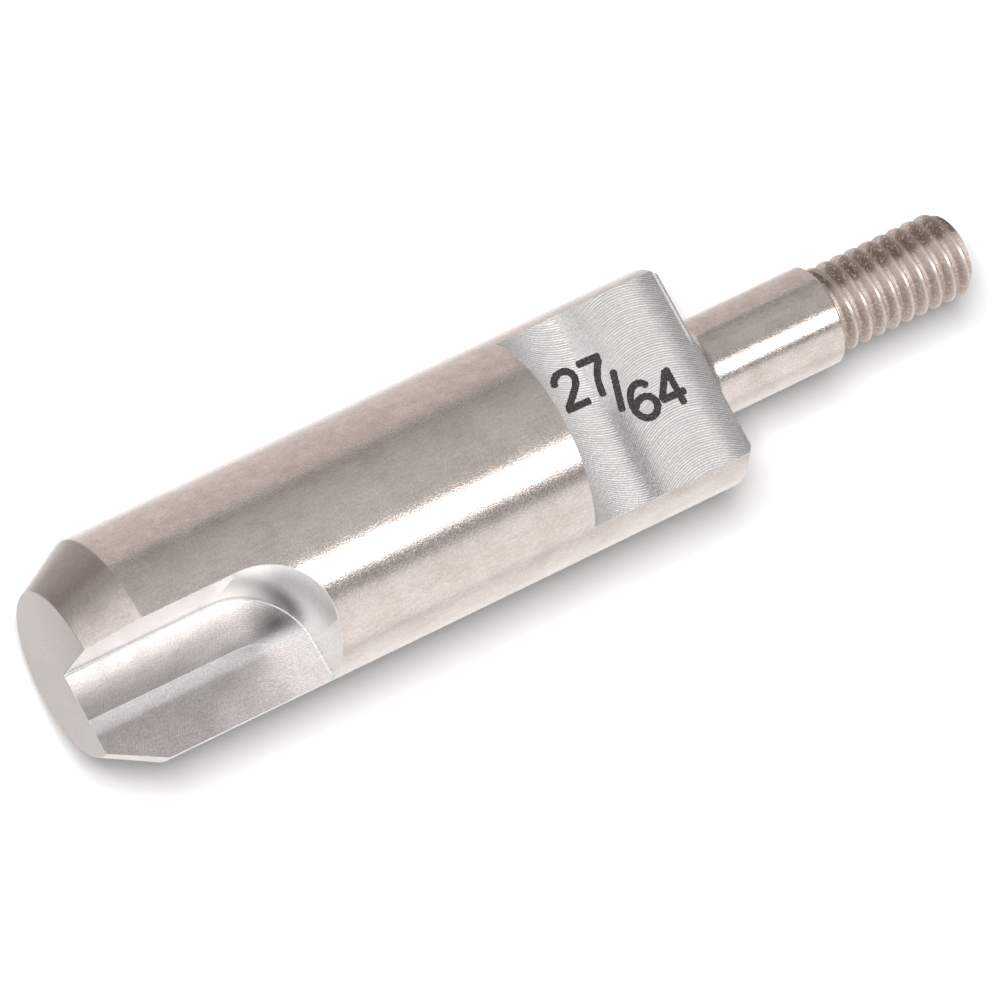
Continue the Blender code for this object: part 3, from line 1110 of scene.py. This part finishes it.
def make_stage(studio):
    """Floor, soft lamps, the room's even light and the camera."""
    bm = bmesh.new()
    bmesh.ops.create_circle(bm, cap_ends=True, segments=96, radius=SHEET_WIDTH / 2)
    mesh = bpy.data.meshes.new("floor")
    bm.to_mesh(mesh)
    bm.free()
    mesh.materials.append(white_sheet(studio))
    floor = new_object("floor", mesh)

    # A lamp of its own lights the sheet from behind, and the others light only the tool
    sheet_light = add_panel_light("sheet_light", studio.sheet_light, *SHEET_LAMP)
    only = bpy.data.collections.new("sheet_only")
    only.objects.link(floor)
    sheet_light.light_linking.receiver_collection = only
    spared = bpy.data.collections.new("all_but_sheet")
    spared.objects.link(floor)
    spared.collection_objects[0].light_linking.link_state = "EXCLUDE"
    for name, placing in STEEL_LAMPS.items():
        lamp = add_panel_light(name, getattr(studio, name), *placing)
        lamp.light_linking.receiver_collection = spared

    world = bpy.data.worlds.new("studio")
    world.use_nodes = True
    tree = world.node_tree
    tree.nodes.clear()
    direction = put(tree, "ShaderNodeTexCoord", out="Generated")
    height = put(tree, "ShaderNodeSeparateXYZ", direction, out=2)
    share = slope(tree, height, 0.1, 0.7, 0.0, 1.0)
    colour = mixed(tree, share, studio.room, studio.ceiling)
    glow = put(tree, "ShaderNodeBackground", colour, 1.0)
    put(tree, "ShaderNodeOutputWorld", glow)
    bpy.context.scene.world = world
    bpy.context.scene.view_settings.view_transform = "Standard"

    lens = bpy.data.cameras.new("camera")
    lens.sensor_width = CAMERA_SENSOR
    lens.lens = CAMERA_LENS
    lens.clip_start = 0.01
    camera = new_object("camera", lens)
    camera.rotation_mode = "QUATERNION"
    camera.rotation_quaternion = Matrix(CAMERA_AXES).transposed().to_quaternion()
    camera.location = Vector(CAMERA_PLACE) * MM
    bpy.context.scene.camera = camera


class REAMER_OT_body(bpy.types.Operator):
    """Turn, mill and thread the reamer"""

    bl_idname = "reamer.body"
    bl_label = "Make Reamer"
    bl_options = {"REGISTER", "UNDO"}

    def execute(self, context):
        make_body(context.scene.reamer_sizes, context.scene.reamer_finish)
        return {"FINISHED"}


class REAMER_OT_mark(bpy.types.Operator):
    """Mark the size on the flat"""

    bl_idname = "reamer.mark"
    bl_label = "Make Size Mark"
    bl_options = {"REGISTER", "UNDO"}

    def execute(self, context):
        make_mark(context.scene.reamer_sizes, context.scene.reamer_mark)
        return {"FINISHED"}


class REAMER_OT_stage(bpy.types.Operator):
    """Set up the floor, the lamps and the camera"""

    bl_idname = "reamer.stage"
    bl_label = "Make Stage"
    bl_options = {"REGISTER", "UNDO"}

    def execute(self, context):
        make_stage(context.scene.reamer_studio)
        return {"FINISHED"}


class REAMER_PT_panel(bpy.types.Panel):
    bl_idname = "REAMER_PT_panel"
    bl_label = "Pen Reamer"
    bl_space_type = "VIEW_3D"
    bl_region_type = "UI"
    bl_category = "Reamer"

    def draw(self, context):
        scene = context.scene
        for operator, settings in (
            (REAMER_OT_body, (scene.reamer_sizes, scene.reamer_finish)),
            (REAMER_OT_mark, (scene.reamer_mark,)),
            (REAMER_OT_stage, (scene.reamer_studio,)),
        ):
            box = self.layout.box()
            for group in settings:
                for name in group.__annotations__:
                    box.prop(group, name)
            box.operator(operator.bl_idname)


GROUPS = {
    "reamer_sizes": ReamerSizes,
    "reamer_mark": ReamerMark,
    "reamer_finish": ReamerFinish,
    "reamer_studio": ReamerStudio,
}
CLASSES = (*GROUPS.values(), REAMER_OT_body, REAMER_OT_mark, REAMER_OT_stage, REAMER_PT_panel)


def register():
    for cls in CLASSES:
        bpy.utils.register_class(cls)
    for name, group in GROUPS.items():
        setattr(bpy.types.Scene, name, PointerProperty(type=group))


def unregister():
    for name in GROUPS:
        delattr(bpy.types.Scene, name)
    for cls in reversed(CLASSES):
        bpy.utils.unregister_class(cls)


def main():
    register()
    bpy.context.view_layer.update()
    bpy.ops.reamer.stage()
    bpy.ops.reamer.body()
    bpy.ops.reamer.mark()


if __name__ == "__main__":
    main()
